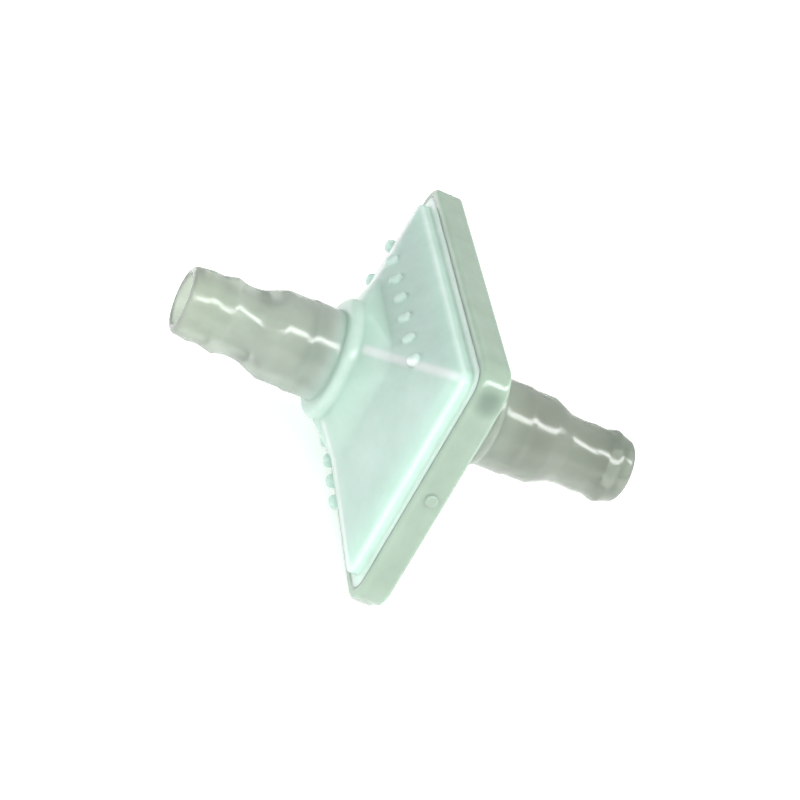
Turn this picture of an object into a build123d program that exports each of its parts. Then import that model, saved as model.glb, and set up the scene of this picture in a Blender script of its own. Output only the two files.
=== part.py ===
from build123d import *
import os

# In-line water filter for 10 mm and 13 mm hose.
# Two moulded shells are welded around a rectangular screen. X is the way the water flows, from the inlet
# at -X to the outlet at +X. The origin is on the flow axis, in the middle of the rim. A long side of the
# rim faces down, so the filter stands on it. All sizes are in millimetres.

# --- Driving dimensions ---
overall_length = 67.0
rim_length = 56.0
rim_height = 37.6
rim_thickness = 4.0
rim_corner_radius = 4.0
wall = 1.3
cut_clearance = 1.0

# --- Rim, and the raised step inside it ---
rim_edge_round = 0.5
seam_inset = 1.3
step_inset = 2.6
inlet_step_height = 1.5
outlet_step_height = 0.9
step_corner_radius = 2.2
step_edge_round = 0.35
weld_land = 1.3

# --- Chamber: flat roofs from the step to a shoulder, then a neck up to the collar around the hose tail ---
inlet_shoulder_place = 8.0
outlet_shoulder_place = 7.3
shoulder_length = 25.1
shoulder_height = 18.3
shoulder_corner_radius = 3.4
inlet_collar_radius = 8.6
outlet_collar_radius = 7.0
collar_base = 10.7
collar_top = 12.4
collar_edge_round = 1.2
chamber_side_margin = 3.8
chamber_end_margin = 2.4
chamber_corner_radius = 1.5
chamber_neck_radius = 5.4
round_section_slack = 0.01

# --- Hose tail: every place is a distance from the tip ---
tip_radius = 4.75
tip_round = 0.9
end_ring_place = 2.6
end_waist_radius = 4.88
end_waist_place = 4.2
middle_ring_place = 6.2
groove_radius = 4.9
groove_place = 8.6
step_foot_radius = 5.15
step_foot_place = 10.3
step_slope_radius = 5.75
step_slope_place = 11.7
step_head_radius = 6.3
step_head_place = 13.2
large_waist_radius = 6.3
large_ring_radius = 6.5
large_ring_foot = 0.9
large_ring_place = 17.2
root_radius = 6.42
root_place = 18.8
inlet_end_ring_radius = 4.98
inlet_middle_ring_radius = 5.35
outlet_end_ring_radius = 5.33
outlet_middle_ring_radius = 5.0
small_bore_radius = 3.6
large_bore_radius = 5.0
small_bore_length = 11.5
bore_taper_length = 1.5
bore_mouth_chamfer = 0.2

# --- Screen cartridge and seal ---
grid_thickness = 0.8
mesh_thickness = 0.2
seal_width = 1.2
grid_corner_radius = 1.6
grid_border = 2.2
grid_bar = 0.9
grid_columns = 6
grid_rows = 4

# --- Raised pips in place of lettering ---
pip_radius = 1.0
pip_height = 1.05
pip_sink = 0.5
pip_edge_round = 0.8
upper_pip_count = 6
upper_pip_pitch = 5.5
upper_pip_start = -15.1
upper_pip_slope = 0.72
upper_pip_height = 0.5
upper_pip_edge_round = 0.4
lower_pip_count = 4
lower_pip_pitch = 5.2
lower_pip_start = -11.3
lower_pip_slope = 0.3
end_pip_count = 3
end_pip_pitch = 5.9
end_pip_start = -2.5
end_pip_slope = 0.3
rim_pip_radius = 0.8
rim_pip_height = 0.35

# --- Worked out from the sizes above ---
half_rim = rim_thickness / 2
inlet_step_top = half_rim + inlet_step_height
outlet_step_top = half_rim + outlet_step_height
step_length = rim_length - 2 * step_inset
step_width = rim_height - 2 * step_inset
lid_length = rim_length - 2 * seam_inset
lid_height = rim_height - 2 * seam_inset
pocket_length = lid_length - 2 * weld_land
pocket_height = lid_height - 2 * weld_land
pocket_radius = grid_corner_radius + seal_width
grid_length = pocket_length - 2 * seal_width
grid_height = pocket_height - 2 * seal_width
chamber_length = step_length - 2 * chamber_side_margin
chamber_height = step_width - 2 * chamber_end_margin
pocket_front = -grid_thickness
pocket_back = grid_thickness + mesh_thickness
tip = overall_length / 2


def rounded_block(length, height, corner, x_from, x_to):
    """A flat block with rounded corners, standing across the flow axis."""
    plane = Plane((x_from, 0, 0), x_dir=(0, 1, 0), z_dir=(1, 0, 0))
    section = plane * RectangleRounded(length, height, corner)
    return extrude(section, amount=x_to - x_from)


def tapered_block(big, small):
    """A loft between two rounded rectangles, each given as (length, height, corner, x)."""
    sections = []
    for length, height, corner, x in (big, small):
        plane = Plane((x, 0, 0), x_dir=(0, 1, 0), z_dir=(1, 0, 0))
        sections.append(plane * RectangleRounded(length, height, corner))
    return loft(sections, ruled=True)


def axial_cylinder(radius, x_from, x_to):
    """A round bar on the flow axis."""
    section = Plane((x_from, 0, 0), x_dir=(0, 1, 0), z_dir=(1, 0, 0)) * Circle(radius)
    return extrude(section, amount=x_to - x_from)


def hose_tail(end_ring_radius, middle_ring_radius):
    """The stepped tail on the outlet side: two small rings for 10 mm hose, then a ring for 13 mm hose."""
    large_waist_place = (step_head_place + large_ring_place - large_ring_foot) / 2
    with BuildPart() as tail:
        with BuildSketch(Plane.XY):
            with BuildLine():
                Line((collar_base, 0), (tip, 0))
                Line((tip, 0), (tip, tip_radius - tip_round))
                RadiusArc((tip, tip_radius - tip_round), (tip - tip_round, tip_radius), -tip_round)
                Line((tip - tip_round, tip_radius), (tip - end_ring_place, end_ring_radius))
                Line((tip - end_ring_place, end_ring_radius), (tip - end_waist_place, end_waist_radius))
                Line(
                    (tip - end_waist_place, end_waist_radius),
                    (tip - middle_ring_place, middle_ring_radius),
                )
                ThreePointArc(
                    (tip - middle_ring_place, middle_ring_radius),
                    (tip - groove_place, groove_radius),
                    (tip - step_foot_place, step_foot_radius),
                )
                Line((tip - step_foot_place, step_foot_radius), (tip - step_slope_place, step_slope_radius))
                Line((tip - step_slope_place, step_slope_radius), (tip - step_head_place, step_head_radius))
                Line(
                    (tip - step_head_place, step_head_radius),
                    (tip - large_waist_place, large_waist_radius),
                )
                Line(
                    (tip - large_waist_place, large_waist_radius),
                    (tip - large_ring_place + large_ring_foot, large_waist_radius),
                )
                Line(
                    (tip - large_ring_place + large_ring_foot, large_waist_radius),
                    (tip - large_ring_place, large_ring_radius),
                )
                Line((tip - large_ring_place, large_ring_radius), (tip - root_place, root_radius))
                Line((tip - root_place, root_radius), (collar_base, root_radius))
                Line((collar_base, root_radius), (collar_base, 0))
            make_face()
        revolve(axis=Axis.X)
    return tail.part


def collar(radius):
    """The short round collar that the hose stops against."""
    blank = axial_cylinder(radius, collar_base - wall, collar_top)
    return fillet(blank.edges().sort_by(Axis.X)[-1], collar_edge_round)


def raised_step(step_top):
    """The flat step inside the rim, on the outlet side."""
    blank = rounded_block(step_length, step_width, step_corner_radius, 0, step_top)
    return fillet(blank.faces().sort_by(Axis.X)[-1].edges(), step_edge_round)


def neck_section(radius):
    """A round section at the collar, given the way that a rounded rectangle is."""
    return (2 * radius, 2 * radius, radius - round_section_slack, collar_base)


def chamber_outside(step_top, shoulder_place, collar_radius):
    """The four-sided chamber: it narrows from the step to the shoulder, and on to the collar."""
    foot = (
        step_length - 2 * step_edge_round,
        step_width - 2 * step_edge_round,
        step_corner_radius - step_edge_round,
        step_top,
    )
    shoulder = (shoulder_length, shoulder_height, shoulder_corner_radius, shoulder_place)
    return tapered_block(foot, shoulder) + tapered_block(shoulder, neck_section(collar_radius))


def water_way(step_top, shoulder_place):
    """The space inside one half, from the screen to the tip."""
    chamber = rounded_block(chamber_length, chamber_height, chamber_corner_radius, 0, step_top)
    foot = (chamber_length, chamber_height, chamber_corner_radius, step_top)
    shoulder = (
        shoulder_length - 2 * chamber_side_margin,
        shoulder_height - 2 * chamber_end_margin,
        chamber_corner_radius,
        shoulder_place,
    )
    chamber += tapered_block(foot, shoulder) + tapered_block(shoulder, neck_section(chamber_neck_radius))
    taper_end = tip - small_bore_length
    taper_start = taper_end - bore_taper_length
    chamber += axial_cylinder(large_bore_radius, collar_base, taper_start)
    cone_plane = Plane((taper_start, 0, 0), x_dir=(0, 1, 0), z_dir=(1, 0, 0))
    chamber += loft([
        cone_plane * Circle(large_bore_radius),
        cone_plane.offset(bore_taper_length) * Circle(small_bore_radius),
    ])
    chamber += axial_cylinder(small_bore_radius, taper_end, tip)
    mouth_plane = Plane((tip - bore_mouth_chamfer, 0, 0), x_dir=(0, 1, 0), z_dir=(1, 0, 0))
    chamber += loft([
        mouth_plane * Circle(small_bore_radius),
        mouth_plane.offset(bore_mouth_chamfer) * Circle(small_bore_radius + bore_mouth_chamfer),
    ])
    return chamber


def pip(place, outward, height, edge_round):
    """One round-topped pip, standing square to the face it is on."""
    stem = Pos(0, 0, -pip_sink) * extrude(Circle(pip_radius), amount=pip_sink + height)
    stem = fillet(stem.edges().sort_by(Axis.Z)[-1], edge_round)
    return Plane(place, z_dir=outward).location * stem


def chamber_pips():
    """Rows of pips on the upper, lower and one end face of the inlet half's chamber."""
    rise = inlet_shoulder_place - inlet_step_top
    side_drop = (step_width - shoulder_height) / 2
    end_drop = (step_length - shoulder_length) / 2
    pips = []
    for number in range(upper_pip_count):
        y = upper_pip_start + number * upper_pip_pitch
        z = step_width / 2 - upper_pip_slope * side_drop
        place = (-inlet_step_top - upper_pip_slope * rise, y, z)
        pips.append(pip(place, (-side_drop, 0, rise), upper_pip_height, upper_pip_edge_round))
    for number in range(lower_pip_count):
        y = lower_pip_start + number * lower_pip_pitch
        z = -step_width / 2 + lower_pip_slope * side_drop
        place = (-inlet_step_top - lower_pip_slope * rise, y, z)
        pips.append(pip(place, (-side_drop, 0, -rise), pip_height, pip_edge_round))
    for number in range(end_pip_count):
        y = step_length / 2 - end_pip_slope * end_drop
        z = end_pip_start + number * end_pip_pitch
        place = (-inlet_step_top - end_pip_slope * rise, y, z)
        pips.append(pip(place, (-end_drop, rise, 0), pip_height, pip_edge_round))
    return pips


def outlet_shell():
    """The outlet half: it carries the whole outer rim and a recess for the inlet half."""
    rim = rounded_block(rim_length, rim_height, rim_corner_radius, -half_rim, half_rim)
    ends = rim.faces().sort_by(Axis.X)
    rim = fillet(ends[0].edges() + ends[-1].edges(), rim_edge_round)
    tail = hose_tail(outlet_end_ring_radius, outlet_middle_ring_radius)
    chamber = chamber_outside(outlet_step_top, outlet_shoulder_place, outlet_collar_radius)
    shell = rim + raised_step(outlet_step_top) + chamber + collar(outlet_collar_radius) + tail
    for side in (-1, 1):
        rim_pip = Plane((0, side * rim_length / 2, 0), z_dir=(0, side, 0)) * Circle(rim_pip_radius)
        shell += extrude(rim_pip, amount=rim_pip_height)
    lid_corner = rim_corner_radius - seam_inset
    shell -= rounded_block(lid_length, lid_height, lid_corner, -half_rim - cut_clearance, 0)
    shell -= rounded_block(pocket_length, pocket_height, pocket_radius, -cut_clearance, pocket_back)
    return shell - water_way(outlet_step_top, outlet_shoulder_place)


def inlet_shell():
    """The inlet half: a lid that drops into the rim's recess, with its own chamber and hose tail."""
    lid = rounded_block(lid_length, lid_height, rim_corner_radius - seam_inset, 0, half_rim)
    tail = hose_tail(inlet_end_ring_radius, inlet_middle_ring_radius)
    chamber = chamber_outside(inlet_step_top, inlet_shoulder_place, inlet_collar_radius)
    half = lid + raised_step(inlet_step_top) + chamber + collar(inlet_collar_radius) + tail
    half -= rounded_block(pocket_length, pocket_height, pocket_radius, -cut_clearance, -pocket_front)
    half -= water_way(inlet_step_top, inlet_shoulder_place)
    half = mirror(half, about=Plane.YZ)
    for one in chamber_pips():
        half += one
    return half


def grid(x_from):
    """A moulded support grid: a border and thin bars, holding one side of the mesh."""
    column_pitch = (grid_length - 2 * grid_border + grid_bar) / grid_columns
    row_pitch = (grid_height - 2 * grid_border + grid_bar) / grid_rows
    with BuildPart() as plate:
        with BuildSketch(Plane((x_from, 0, 0), x_dir=(0, 1, 0), z_dir=(1, 0, 0))):
            RectangleRounded(grid_length, grid_height, grid_corner_radius)
            with GridLocations(column_pitch, row_pitch, grid_columns, grid_rows):
                Rectangle(column_pitch - grid_bar, row_pitch - grid_bar, mode=Mode.SUBTRACT)
        extrude(amount=grid_thickness)
    return plate.part


def filter_mesh():
    """The woven mesh, as the flat sheet that the two grids hold between them."""
    return rounded_block(grid_length, grid_height, grid_corner_radius, 0, mesh_thickness)


def rim_seal():
    """The soft ring around the screen, pressed between the two shells."""
    ring = rounded_block(pocket_length, pocket_height, pocket_radius, pocket_front, pocket_back)
    return ring - rounded_block(grid_length, grid_height, grid_corner_radius, pocket_front, pocket_back)


parts = {
    "inlet_shell": inlet_shell(),
    "outlet_shell": outlet_shell(),
    "upstream_grid": grid(pocket_front),
    "filter_mesh": filter_mesh(),
    "downstream_grid": grid(mesh_thickness),
    "rim_seal": rim_seal(),
}

os.makedirs("parts", exist_ok=True)
for name, solid in parts.items():
    export_step(solid, f"parts/{name}.step")
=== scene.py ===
import math

import bmesh
import bpy
from mathutils import Matrix, Vector


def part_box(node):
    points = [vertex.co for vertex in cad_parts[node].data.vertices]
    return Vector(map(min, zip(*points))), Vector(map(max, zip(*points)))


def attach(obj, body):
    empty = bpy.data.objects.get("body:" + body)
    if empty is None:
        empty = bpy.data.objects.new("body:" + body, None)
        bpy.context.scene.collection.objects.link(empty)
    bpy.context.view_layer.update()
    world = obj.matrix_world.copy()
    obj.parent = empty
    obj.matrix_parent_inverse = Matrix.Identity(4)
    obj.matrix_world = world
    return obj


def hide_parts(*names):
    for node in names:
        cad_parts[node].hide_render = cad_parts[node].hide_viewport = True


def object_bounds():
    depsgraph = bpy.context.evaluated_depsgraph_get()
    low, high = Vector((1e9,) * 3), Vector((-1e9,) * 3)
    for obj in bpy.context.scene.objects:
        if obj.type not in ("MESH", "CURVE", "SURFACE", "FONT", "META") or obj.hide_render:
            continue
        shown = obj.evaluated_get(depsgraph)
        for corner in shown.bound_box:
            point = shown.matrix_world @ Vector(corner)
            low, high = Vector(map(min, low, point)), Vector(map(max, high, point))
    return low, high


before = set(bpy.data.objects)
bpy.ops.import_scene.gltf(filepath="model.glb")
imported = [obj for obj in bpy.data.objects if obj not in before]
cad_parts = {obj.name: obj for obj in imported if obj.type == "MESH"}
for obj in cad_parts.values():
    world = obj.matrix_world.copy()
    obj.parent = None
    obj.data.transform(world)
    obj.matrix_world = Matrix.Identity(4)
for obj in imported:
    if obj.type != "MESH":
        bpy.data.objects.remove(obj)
cad_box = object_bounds()


# --- Inlet shell ---
# The half that the water enters: one injection moulding in natural polypropylene, with its stepped hose
# tail, its collar, its four-sided chamber and the lid flange. The lid drops into the rim of the other half
# and is welded there.

def linear(hex_colour):
    """An sRGB hex colour as linear RGBA."""
    parts = [int(hex_colour[i:i + 2], 16) / 255 for i in (1, 3, 5)]
    return (*[c / 12.92 if c <= 0.04045 else ((c + 0.055) / 1.055) ** 2.4 for c in parts], 1.0)


def add_node(tree, kind, inputs=None, **settings):
    """Adds a node, sets its properties, and fills its inputs with values or with links from other nodes."""
    node = tree.nodes.new(kind)
    for name, value in settings.items():
        setattr(node, name, value)
    for name, value in (inputs or {}).items():
        if isinstance(value, bpy.types.NodeSocket):
            tree.links.new(value, node.inputs[name])
        else:
            node.inputs[name].default_value = value
    return node


def new_material(name):
    """An empty node material with its output, and the tree to build it in."""
    material = bpy.data.materials.new(name)
    material.use_nodes = True
    tree = material.node_tree
    tree.nodes.clear()
    output = tree.nodes.new("ShaderNodeOutputMaterial")
    return material, tree, output


def natural_polypropylene(name, tints, tail_clearness):
    """Natural polypropylene as it leaves the mould: milky and faintly green. Its tints are partly the
    plastic's own tone and partly painted light and shade, with a painted highlight along the ridges between
    the chamber's sides and a painted dark reflection at one corner of the rim. The chamber is satin. The rim
    and the tails are formed on polished steel, so they are glossier, and the tails are clearer and greyer
    too."""
    cloud_size = 0.005
    grain_size = 0.00035
    scuff_size = 0.0012
    edge_round = 0.001
    # Where each zone's tint fades in over the one before it, as distances out from the middle of the rim.
    zones = (
        ("step", 0.0020, 0.0022), ("roof", 0.0033, 0.0038), ("shoulder", 0.0055, 0.0090),
        ("collar", 0.0105, 0.0109), ("tail", 0.0120, 0.0150), ("tip", 0.0250, 0.0325),
    )
    # The ridges between the chamber's sides, in the plane across the flow: z = slope * y + offset.
    ridge_slope = 0.536
    ridge_offset = 0.00242
    ridge_edge = 0.0011
    ridge_core = 0.0001
    # A painted dark reflection at one corner of the rim: where it sits, and how wide the patch is.
    dark_reflection_place = (0.0, -0.0276, 0.0151)
    dark_reflection_edge = 0.0026
    dark_reflection_core = 0.0004
    material, tree, output = new_material(name)
    place = add_node(tree, "ShaderNodeTexCoord").outputs["Object"]
    folded = add_node(tree, "ShaderNodeVectorMath", {0: place}, operation="ABSOLUTE").outputs[0]
    axes = add_node(tree, "ShaderNodeSeparateXYZ", {0: folded})
    from_rim = axes.outputs["X"]

    def ease(value, start, end):
        return add_node(tree, "ShaderNodeMapRange", {
            "Value": value, "From Min": start, "From Max": end,
        }, interpolation_type="SMOOTHSTEP").outputs["Result"]

    def blend(factor, first, second):
        mix = add_node(tree, "ShaderNodeMix", {"Factor": factor, 6: first, 7: second}, data_type="RGBA")
        return mix.outputs[2]

    # Zone tints: partly the plastic's own tone and partly painted light and shade, each zone made lighter or
    # darker for how light falls on it.
    paint = linear(tints["rim"])
    for zone, start, end in zones:
        paint = blend(ease(from_rim, start, end), paint, linear(tints[zone]))
    # A painted highlight along the ridges between the chamber's sides, kept to the chamber by on_chamber.
    across = add_node(tree, "ShaderNodeMath", {
        0: axes.outputs["Y"], 1: -ridge_slope, 2: axes.outputs["Z"],
    }, operation="MULTIPLY_ADD").outputs[0]
    past_ridge = add_node(tree, "ShaderNodeMath", {0: across, 1: ridge_offset}, operation="SUBTRACT")
    off_ridge = add_node(tree, "ShaderNodeMath", {0: past_ridge.outputs[0]}, operation="ABSOLUTE")
    on_ridge = ease(off_ridge.outputs[0], ridge_edge, ridge_core)
    on_roof = ease(from_rim, 0.0032, 0.0038)
    off_tail = ease(from_rim, 0.0108, 0.0102)
    on_chamber = add_node(tree, "ShaderNodeMath", {0: on_roof, 1: off_tail}, operation="MULTIPLY").outputs[0]
    on_ridge = add_node(tree, "ShaderNodeMath", {0: on_ridge, 1: on_chamber}, operation="MULTIPLY").outputs[0]
    paint = blend(on_ridge, paint, linear(tints["ridge"]))
    # The painted dark reflection, darkest at that corner of the rim and fading out around it.
    to_dark_reflection = add_node(tree, "ShaderNodeVectorMath", {
        0: place, 1: dark_reflection_place,
    }, operation="DISTANCE").outputs["Value"]
    paint = blend(ease(to_dark_reflection, dark_reflection_edge, dark_reflection_core), paint, linear(tints["corner"]))

    clouds = add_node(tree, "ShaderNodeTexNoise", {
        "Vector": place, "Scale": 1 / cloud_size, "Detail": 4.0, "Roughness": 0.6,
    }).outputs["Fac"]
    cloud_shade = add_node(tree, "ShaderNodeMapRange", {
        "Value": clouds, "From Min": 0.3, "From Max": 0.7, "To Min": 0.93, "To Max": 1.04,
    }, clamp=False).outputs["Result"]
    paint = add_node(tree, "ShaderNodeMix", {
        "Factor": 1.0, 6: paint, 7: cloud_shade,
    }, data_type="RGBA", blend_type="MULTIPLY").outputs[2]

    on_tail = ease(from_rim, 0.0118, 0.0160)
    grain = add_node(tree, "ShaderNodeTexNoise", {
        "Vector": place, "Scale": 1 / grain_size, "Detail": 2.0, "Roughness": 0.6,
    }).outputs["Fac"]
    scuffs = add_node(tree, "ShaderNodeTexNoise", {
        "Vector": place, "Scale": 1 / scuff_size, "Detail": 3.0, "Roughness": 0.5,
    }).outputs["Fac"]
    roughness = add_node(tree, "ShaderNodeMapRange", {
        "Value": on_chamber, "To Min": 0.15, "To Max": 0.26,
    }).outputs["Result"]
    clearness = add_node(tree, "ShaderNodeMapRange", {
        "Value": on_tail, "To Min": 0.25, "To Max": tail_clearness,
    }).outputs["Result"]
    scatter_depth = add_node(tree, "ShaderNodeMapRange", {
        "Value": on_roof, "To Min": 0.0012, "To Max": 0.006,
    }).outputs["Result"]
    skin = add_node(tree, "ShaderNodeMix", {"Factor": on_tail, "A": grain, "B": scuffs}).outputs[0]
    # A moulding has no sharp corner, so the light runs on round each edge and ring.
    blunt = add_node(tree, "ShaderNodeBevel", {"Radius": edge_round}, samples=8).outputs["Normal"]
    bump = add_node(tree, "ShaderNodeBump", {
        "Height": skin, "Strength": 0.2, "Distance": 0.00003, "Normal": blunt,
    }).outputs["Normal"]
    shader = add_node(tree, "ShaderNodeBsdfPrincipled", {
        "Base Color": paint, "Roughness": roughness, "IOR": 1.49, "Transmission Weight": clearness,
        "Subsurface Weight": 1.0, "Subsurface Scale": scatter_depth, "Subsurface Radius": (0.9, 1.0, 0.95),
        "Normal": bump,
    })
    tree.links.new(shader.outputs["BSDF"], output.inputs["Surface"])
    return material


def dress(node, material):
    """Gives a node of the frame its finished material."""
    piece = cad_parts[node]
    piece.data.materials.clear()
    piece.data.materials.append(material)


# The inlet half's tints carry painted light: the lid's ledge, the only part of its rim zone in sight, is
# painted as pale as the step, lifting the shade the step casts on it.
dress("inlet_shell", natural_polypropylene("natural polypropylene, moulded, inlet half", {
    "rim": "#DEF6EA", "step": "#D9F3E7", "roof": "#C0E5D4", "shoulder": "#BDDDCD", "collar": "#BCD6C9",
    "ridge": "#E2FBF0", "corner": "#A3B8A8", "tail": "#C4CDC2", "tip": "#C2CBBD",
}, 0.72))


# --- Outlet shell ---
# The half that the water leaves by: the same natural polypropylene, moulded with the thick outer rim, and
# with a recess in which the lid of the inlet half is welded.

# The outlet half's tints are darker and greyer than the inlet half's: partly the plastic's own tone and
# partly painted shade, where the body shades this half and its tail.
dress("outlet_shell", natural_polypropylene("natural polypropylene, moulded, outlet half", {
    "rim": "#A4B7A7", "step": "#C4D8CB", "roof": "#B4CBBF", "shoulder": "#ABC2B6", "collar": "#98A396",
    "ridge": "#C6D8CE", "corner": "#7F9184", "tail": "#A6ADA1", "tip": "#8A9185",
}, 0.6))


# --- Support grids ---
# Two thin grids moulded in opaque white polypropylene, one on each side of the mesh, which hold it flat.

def white_polypropylene(name):
    """White-filled polypropylene, moulded. Its satin skin gives a soft, even sheen with a faint grain."""
    grain_size = 0.0003
    material, tree, output = new_material(name)
    place = add_node(tree, "ShaderNodeTexCoord").outputs["Object"]
    grain = add_node(tree, "ShaderNodeTexNoise", {
        "Vector": place, "Scale": 1 / grain_size, "Detail": 3.0,
    }).outputs["Fac"]
    paint = add_node(tree, "ShaderNodeMix", {
        "Factor": grain, 6: linear("#EEF2EE"), 7: linear("#E2E9E4"),
    }, data_type="RGBA").outputs[2]
    bump = add_node(tree, "ShaderNodeBump", {
        "Height": grain, "Strength": 0.3, "Distance": 0.00003,
    }).outputs["Normal"]
    shader = add_node(tree, "ShaderNodeBsdfPrincipled", {
        "Base Color": paint, "Roughness": 0.45, "IOR": 1.49, "Normal": bump,
    })
    tree.links.new(shader.outputs["BSDF"], output.inputs["Surface"])
    return material


white_grid = white_polypropylene("white polypropylene, moulded")
dress("upstream_grid", white_grid)
dress("downstream_grid", white_grid)


# --- Rim seal ---
# A soft ring of translucent silicone rubber around the screen, moulded and then squeezed between the two
# halves.

def silicone_rubber(name):
    """Translucent silicone rubber, moulded. It is cloudy and slightly dusty, with a dull sheen."""
    cloud_size = 0.002
    material, tree, output = new_material(name)
    place = add_node(tree, "ShaderNodeTexCoord").outputs["Object"]
    clouds = add_node(tree, "ShaderNodeTexNoise", {
        "Vector": place, "Scale": 1 / cloud_size, "Detail": 4.0,
    }).outputs["Fac"]
    paint = add_node(tree, "ShaderNodeMix", {
        "Factor": clouds, 6: linear("#E3E9E4"), 7: linear("#D3DBD5"),
    }, data_type="RGBA").outputs[2]
    bump = add_node(tree, "ShaderNodeBump", {
        "Height": clouds, "Strength": 0.3, "Distance": 0.00005,
    }).outputs["Normal"]
    shader = add_node(tree, "ShaderNodeBsdfPrincipled", {
        "Base Color": paint, "Roughness": 0.55, "IOR": 1.41, "Subsurface Weight": 0.6,
        "Subsurface Scale": 0.001, "Normal": bump,
    })
    tree.links.new(shader.outputs["BSDF"], output.inputs["Surface"])
    return material


dress("rim_seal", silicone_rubber("translucent silicone rubber, moulded"))


# --- Filter mesh ---
# A sheet of plain-woven nylon monofilament, cut to the size of the grids and held flat between them. It
# ripples by a few hundredths of a millimetre from one end to the other.

def woven_nylon(name, thread_pitch):
    """White nylon monofilament, plain woven. The crossing threads give a fine check and a slight sheen."""
    material, tree, output = new_material(name)
    place = add_node(tree, "ShaderNodeTexCoord").outputs["Object"]
    axes = add_node(tree, "ShaderNodeSeparateXYZ", {0: place})
    waves = []
    for axis in ("Y", "Z"):
        angle = add_node(tree, "ShaderNodeMath", {
            0: axes.outputs[axis], 1: math.pi / thread_pitch,
        }, operation="MULTIPLY")
        wave = add_node(tree, "ShaderNodeMath", {0: angle.outputs[0]}, operation="SINE")
        waves.append(add_node(tree, "ShaderNodeMath", {0: wave.outputs[0]}, operation="ABSOLUTE").outputs[0])
    weave = add_node(tree, "ShaderNodeMath", {0: waves[0], 1: waves[1]}, operation="MAXIMUM").outputs[0]
    paint = add_node(tree, "ShaderNodeMix", {
        "Factor": weave, 6: linear("#B9C2BC"), 7: linear("#F2F4F1"),
    }, data_type="RGBA").outputs[2]
    bump = add_node(tree, "ShaderNodeBump", {
        "Height": weave, "Strength": 0.8, "Distance": 0.00008,
    }).outputs["Normal"]
    shader = add_node(tree, "ShaderNodeBsdfPrincipled", {
        "Base Color": paint, "Roughness": 0.4, "IOR": 1.53, "Normal": bump,
    })
    tree.links.new(shader.outputs["BSDF"], output.inputs["Surface"])
    return material


mesh_low, mesh_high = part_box("filter_mesh")
mesh_length = mesh_high[1] - mesh_low[1]
mesh_height = mesh_high[2] - mesh_low[2]
mesh_corner = 0.0016
mesh_sag = 0.00004
mesh_thickness = 0.00008
mesh_cells_y = 97
mesh_cells_z = 60
sheet = bmesh.new()
bmesh.ops.create_grid(sheet, x_segments=mesh_cells_y, y_segments=mesh_cells_z, size=0.5)
for vert in sheet.verts:
    y = vert.co.x * mesh_length
    z = vert.co.y * mesh_height
    over_y = max(0.0, abs(y) - (mesh_length / 2 - mesh_corner))
    over_z = max(0.0, abs(z) - (mesh_height / 2 - mesh_corner))
    reach = math.hypot(over_y, over_z)
    if reach > mesh_corner:
        y -= math.copysign(over_y * (1 - mesh_corner / reach), y)
        z -= math.copysign(over_z * (1 - mesh_corner / reach), z)
    ripple = math.cos(6 * math.pi * y / mesh_length) * math.cos(4 * math.pi * z / mesh_height)
    vert.co = Vector(((mesh_low[0] + mesh_high[0]) / 2 + mesh_sag * ripple, y, z))
mesh_data = bpy.data.meshes.new("nylon_mesh")
sheet.to_mesh(mesh_data)
sheet.free()
nylon_mesh = bpy.data.objects.new("nylon_mesh", mesh_data)
bpy.context.collection.objects.link(nylon_mesh)
for polygon in mesh_data.polygons:
    polygon.use_smooth = True
thicken = nylon_mesh.modifiers.new("thickness", "SOLIDIFY")
thicken.thickness = mesh_thickness
thicken.offset = 0.0
mesh_data.materials.append(woven_nylon("nylon monofilament, plain woven", 0.0005))
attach(nylon_mesh, "root")
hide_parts("filter_mesh")


# --- Where it stands: floor, light and camera ---
# A wide white light table, a large soft light at the left and a long strip light above.

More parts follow.
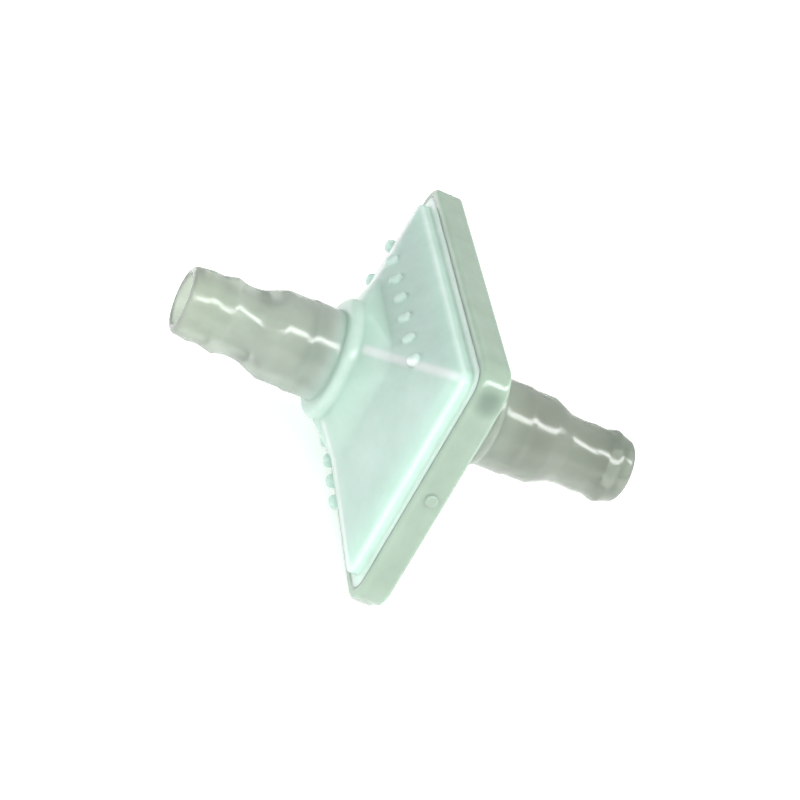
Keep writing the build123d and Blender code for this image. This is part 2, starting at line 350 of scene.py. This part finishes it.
low, high = cad_box
floor_size = 3.0
floor_data = bpy.data.meshes.new("floor")
half = floor_size / 2
floor_data.from_pydata(
    [(-half, -half, low.z), (half, -half, low.z), (half, half, low.z), (-half, half, low.z)],
    [], [(0, 1, 2, 3)],
)
floor = bpy.data.objects.new("floor", floor_data)
bpy.context.collection.objects.link(floor)
table, table_tree, table_output = new_material("opal acrylic light table")
table_place = add_node(table_tree, "ShaderNodeTexCoord").outputs["Object"]
table_grain = add_node(table_tree, "ShaderNodeTexNoise", {
    "Vector": table_place, "Scale": 2000.0,
}).outputs["Fac"]
table_rough = add_node(table_tree, "ShaderNodeMapRange", {
    "Value": table_grain, "To Min": 0.5, "To Max": 0.6,
}).outputs["Result"]
table_shader = add_node(table_tree, "ShaderNodeBsdfPrincipled", {
    "Base Color": linear("#F4F4F4"), "Roughness": table_rough,
    "Emission Color": linear("#FFFFFF"), "Emission Strength": 0.45,
})
table_tree.links.new(table_shader.outputs["BSDF"], table_output.inputs["Surface"])
floor_data.materials.append(table)

world = bpy.data.worlds.new("studio")
bpy.context.scene.world = world
world.use_nodes = True
world.node_tree.nodes["Background"].inputs["Color"].default_value = linear("#F2F5F4")
world.node_tree.nodes["Background"].inputs["Strength"].default_value = 0.70


def soft_light(name, place, aim, width, length, power, turn=0.0):
    """A rectangular soft light, aimed at a point and turned about its own axis."""
    data = bpy.data.lights.new(name, "AREA")
    data.shape = "RECTANGLE"
    data.size = width
    data.size_y = length
    data.energy = power
    light = bpy.data.objects.new(name, data)
    facing = (Vector(aim) - Vector(place)).to_track_quat("-Z", "Y").to_matrix().to_4x4()
    light.matrix_world = Matrix.Translation(place) @ facing @ Matrix.Rotation(turn, 4, "Z")
    bpy.context.collection.objects.link(light)
    return light


soft_light("key_light", (-0.55, -0.30, 0.25), (0, 0, 0), 0.4, 0.4, 1.2)
soft_light("strip_light", (0.16, -0.28, 0.42), (0, 0, 0), 1.1, 0.10, 4.6)

camera_data = bpy.data.cameras.new("camera")
camera = bpy.data.objects.new("camera", camera_data)
bpy.context.collection.objects.link(camera)
bpy.context.scene.camera = camera
camera_right = Vector((0.88493, -0.10066, 0.45473))
camera_up = Vector((-0.34799, 0.50600, 0.78922))
camera_back = Vector((-0.30953, -0.85664, 0.41275))
turn = Matrix((camera_right, camera_up, camera_back)).transposed().to_4x4()
camera.matrix_world = Matrix.Translation((-0.09429, -0.26059, 0.12342)) @ turn
camera_data.sensor_width = 36.0
camera_data.angle = math.radians(20.215)
bpy.context.scene.view_settings.view_transform = "Standard"
